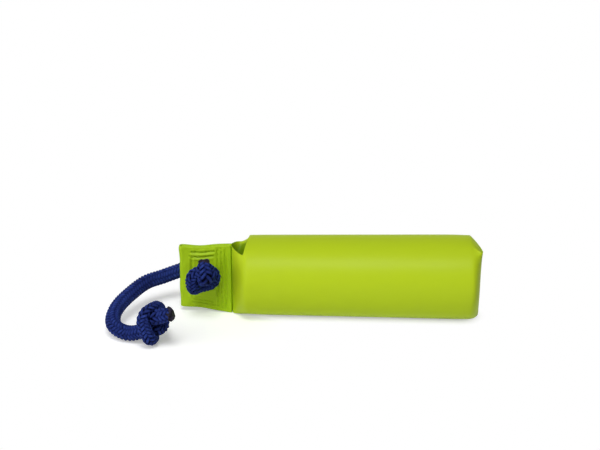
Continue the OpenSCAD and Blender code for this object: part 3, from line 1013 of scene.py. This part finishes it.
fabric, start = new_finish("coated_fabric")
cloth = start.node("UVMap", {"uv_map": "cloth"})
warp, weft = [start.math("SINE", axis_of(cloth, number) * (math.pi / THREAD_PITCH))
              for number in (0, 1)]
warp_over = start.math("GREATER_THAN", warp * weft, 0.0)
weave = start.math("ABSOLUTE", warp) * warp_over + start.math("ABSOLUTE", weft) * (1 - warp_over)
slow, fine = noise(start, 26.0, 3.0), noise(start, 420.0)
on_tab = smooth_range(axis_of(start.node("TexCoord", out="Object"), 0), TAB_FROM, TAB_TO)
# The share of painted shade deep in the gusset's fold.
in_fold = start.math("MINIMUM", stored(start, "fold") * 3.0, 0.75)
lime = blend_colours(on_tab, LIME, LIME_SHADE)
lime = blend_colours(slow * 0.22, lime, LIME_PATCH)
lime = blend_colours((1 - weave) * 0.10, lime, LIME_GAP)
lime = blend_colours(in_fold, lime, LIME_FOLD_SHADE)
close_finish(start, Base_Color=lime, Roughness=0.4 + slow * 0.12 + fine * 0.06,
             Normal=bump(weave + fine * 0.5, 0.15, 0.00012), Specular_IOR_Level=0.01,
             Coat_Weight=0.13 + slow * 0.16, Coat_Roughness=0.38)
sleeve.data.materials.append(fabric)
print(fabric.name, len(fabric.node_tree.nodes), "nodes")

# %% [markdown]
# The sewing thread is dyed to match the cover, but it has no coat: it is duller, and its twist
# breaks the light up. At this size a fine noise stands for the twist.

# %% Sewing thread
THREAD_DARK, THREAD_LIGHT = (0.27, 0.44, 0.008, 1), (0.42, 0.59, 0.016, 1)

thread_finish, start = new_finish("sewing_thread")
twist = noise(start, 2200.0, 1.0)
close_finish(start, Base_Color=blend_colours(twist, THREAD_DARK, THREAD_LIGHT),
             Roughness=0.55 + twist * 0.1, Normal=bump(twist, 0.3, 0.0001), Specular_IOR_Level=0.1)
threads.data.materials.append(thread_finish)
print(thread_finish.name, len(thread_finish.node_tree.nodes), "nodes")

# %% [markdown]
# The braid is navy. Its strands take the light on their crowns and lose it where they dive under
# each other, and this light and shade is painted into the colour from the height that was stored
# with the mesh. Where a knot presses the strands together, painted shade makes it dark. A fine
# noise stands for the filaments.

# %% Rope
NAVY_SHADE, NAVY = (0.0005, 0.001, 0.01, 1), (0.004, 0.007, 0.058, 1)
NAVY_LIT = (0.03, 0.058, 0.28, 1)

rope_finish, start = new_finish("braided_cord")
lift, tone, crease = [stored(start, name) for name in ("lift", "tone", "crease")]
fibre, patch = noise(start, 1500.0), noise(start, 38.0)
# Painted shade low in the braid, painted light on the crowns, painted shade where knots press.
navy = blend_colours(lift ** 2, NAVY_SHADE, NAVY)
navy = blend_colours(lift ** 3 * fibre * (tone * 0.3 + patch * 0.7), navy, NAVY_LIT)
navy = blend_colours(start.math("MINIMUM", crease * 4.5, 0.92), navy, NAVY_SHADE)
close_finish(start, Base_Color=navy, Roughness=0.55 + fibre * 0.2,
             Normal=bump(fibre, 0.35, 0.00015), Specular_IOR_Level=0.04)
rope.data.materials.append(rope_finish)
print(rope_finish.name, len(rope_finish.node_tree.nodes), "nodes")

# %% [markdown]
# Melted fibre is almost black, with paler blisters and a harder shine than the braid. One noise
# makes the blisters in the colour, the roughness and the bump, so they fall in the same places.

# %% Melted rope
CHAR, BLISTER = (0.001, 0.0005, 0.004, 1), (0.028, 0.022, 0.045, 1)

melted, start = new_finish("melted_rope")
blister = noise(start, 480.0)
close_finish(start, Base_Color=blend_colours((blister - 0.42) * 4.0, CHAR, BLISTER),
             Roughness=0.4 + blister * 0.25, Normal=bump(blister, 0.6, 0.0006),
             Specular_IOR_Level=0.12)
tips.data.materials.append(melted)
print(melted.name, len(melted.node_tree.nodes), "nodes")

# %% [markdown]
# The eyelet and the foam are the CAD model's own solids, because their shapes are already right.
# They only get a finish: nickel with fine wear for the eyelet, and pale foam for the core, which
# shows nowhere from outside.

# %% Nickel and foam
NICKEL_WORN, NICKEL = (0.55, 0.54, 0.5, 1), (0.7, 0.69, 0.66, 1)
FOAM_CELL, FOAM_WALL = (0.62, 0.58, 0.45, 1), (0.78, 0.75, 0.64, 1)

nickel, start = new_finish("nickel")
wear = noise(start, 900.0, 4.0)
close_finish(start, Base_Color=blend_colours(wear, NICKEL_WORN, NICKEL), Metallic=1.0,
             Roughness=0.2 + wear * 0.2, Normal=bump(wear, 0.12, 0.0001))

foam, start = new_finish("foam")
place = start.node("TexCoord", out="Object")
cells = start.node("TexVoronoi", (), {"Vector": place, "Scale": 900.0})
close_finish(start, Base_Color=blend_colours(cells, FOAM_CELL, FOAM_WALL),
             Roughness=0.85 + cells * 0.1, Normal=bump(cells, 0.6, 0.0004))

for node, finish in [("eyelet", nickel), ("eyelet_washer", nickel), ("foam_core", foam)]:
    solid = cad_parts[node]
    solid.data.materials.clear()
    solid.data.materials.append(finish)
print("carried-over solids finished")

# %% [markdown]
# The studio is a pale floor, an even world and four soft lamps. The floor takes the shadows. Away
# from the object it is shown plain white, but only to the rays of the camera, of metal and of
# glass, so the background is white without any extra light on the object. Round the body the
# white begins a few millimetres out, which paints over most of the body's shadow on the floor.

# %% Finish of the floor
FLOOR_LIFT, WHITE, BLACK = 0.3, (1, 1, 1, 1), (0, 0, 0, 1)
FLOOR_DULL, FLOOR_PALE = (0.95, 0.95, 0.95, 1), (0.97, 0.97, 0.97, 1)
# Where the floor turns plain white: a few millimetres out from the body, which paints over its
# shadow, and further out round the rope's loop.
BODY_MID, BODY_HALF, BODY_CLEAR = 0.01, 0.07, (0.003, 0.018)
LOOP_X, LOOP_Y, LOOP_CLEAR = -0.1, -0.025, (0.045, 0.08)


def seen_directly(start):
    """1 for the rays of the camera, of metal and of glass, and else 0."""
    seen, *others = [start.node("LightPath", out=f"Is {kind} Ray")
                     for kind in ("Camera", "Glossy", "Transmission")]
    return start.math("MAXIMUM", seen, start.math("MAXIMUM", *others))


floor_finish, start = new_finish("floor")
floor_place = start.node("TexCoord", out="Object")
floor_x, floor_y = axis_of(floor_place, 0), axis_of(floor_place, 1)
past_body = start.math("MAXIMUM", start.math("ABSOLUTE", floor_x - BODY_MID) - BODY_HALF, 0.0)
from_body = (past_body ** 2 + floor_y ** 2) ** 0.5
from_rope = ((floor_x - LOOP_X) ** 2 + (floor_y - LOOP_Y) ** 2) ** 0.5
away = start.math("MINIMUM", smooth_range(from_body, *BODY_CLEAR),
                  smooth_range(from_rope, *LOOP_CLEAR))
dust = noise(start, 3.0)
seen = seen_directly(start)
near = start.node("BsdfPrincipled", (), {
    "Base Color": blend_colours(dust, FLOOR_DULL, FLOOR_PALE), "Roughness": 0.9,
    "Specular IOR Level": 0.0, "Emission Color": blend_colours(seen, BLACK, WHITE),
    "Emission Strength": FLOOR_LIFT})
glow = start.node("Emission", (), {"Color": WHITE, "Strength": 1.0})
close_tree(start.node("MixShader", (), {0: seen * away, 1: near, 2: glow}))
print(floor_finish.name, len(floor_finish.node_tree.nodes), "nodes")

# %% [markdown]
# The floor itself is one large square, a hair below the object so that the two never share a
# plane. The world gives a little light from everywhere, and is white to the same rays.

# %% Floor and world
FLOOR_SIZE, FLOOR_DOWN, WORLD_LIGHT = 6.0, 0.0002, 0.14

floor_mesh = bpy.data.meshes.new("floor")
half = FLOOR_SIZE / 2
floor_mesh.from_pydata([(-half, -half, 0), (half, -half, 0), (half, half, 0), (-half, half, 0)],
                       [], [(0, 1, 2, 3)])
floor_mesh.materials.append(floor_finish)
floor = add_object("floor", floor_mesh)
floor.location.z = -FLOOR_DOWN
floor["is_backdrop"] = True

world = bpy.data.worlds.new("studio")
scene.world = world
world.use_nodes = True
world.node_tree.nodes.clear()
start = Sock(world.node_tree)
light = WORLD_LIGHT + seen_directly(start) * (1 - WORLD_LIGHT)
close_tree(start.node("Background", (), {"Color": WHITE, "Strength": light}), "OutputWorld")
print("floor", FLOOR_SIZE, "m wide")

# %% [markdown]
# A large lamp at the left front is the main light, and a weak one from the left fills the tab. A
# smaller lamp above the front makes the satin band along the body. The low lamp behind lifts the
# back, and it is kept out of reflections, where it would draw a pale rim along the top edge.

# %% Lamps
def soft_lamp(name, place, aim, wide, deep, watts):
    """An oval area lamp that looks from its place at a point."""
    data = bpy.data.lights.new(name, "AREA")
    data.shape, data.size, data.size_y, data.energy = "ELLIPSE", wide, deep, watts
    lamp = add_object(name, data)
    lamp.location = place
    lamp.rotation_euler = (Vector(place) - Vector(aim)).to_track_quat("Z", "Y").to_euler()
    return lamp


soft_lamp("key", (-0.82, -1.12, 0.85), (0, 0, 0.02), 1.5, 1.5, 9.0)
soft_lamp("left", (-1.4, -0.5, 0.4), (-0.04, 0, 0.02), 0.9, 0.7, 3.4)
soft_lamp("overhead", (-0.06, -0.57, 0.96), (-0.03, 0, 0.02), 0.45, 0.5, 6.0)
rear_lamp = soft_lamp("rear", (0.2, 1.35, 0.22), (0, 0, 0.02), 1.2, 0.36, 6.0)
rear_lamp.visible_glossy = False
scene.view_settings.view_transform = "Standard"
print(len(bpy.data.lights), "lamps")

# %% [markdown]
# Last, the two boxes are printed, the CAD model's and the dressed model's, to see that the
# cloth and the rope have not outgrown the solids that they stand for.

# %% Sizes and finish
visual_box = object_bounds()
for title, box in [("CAD", cad_box), ("visual", visual_box)]:
    print(title, [[round(v, 4) for v in corner] for corner in box])
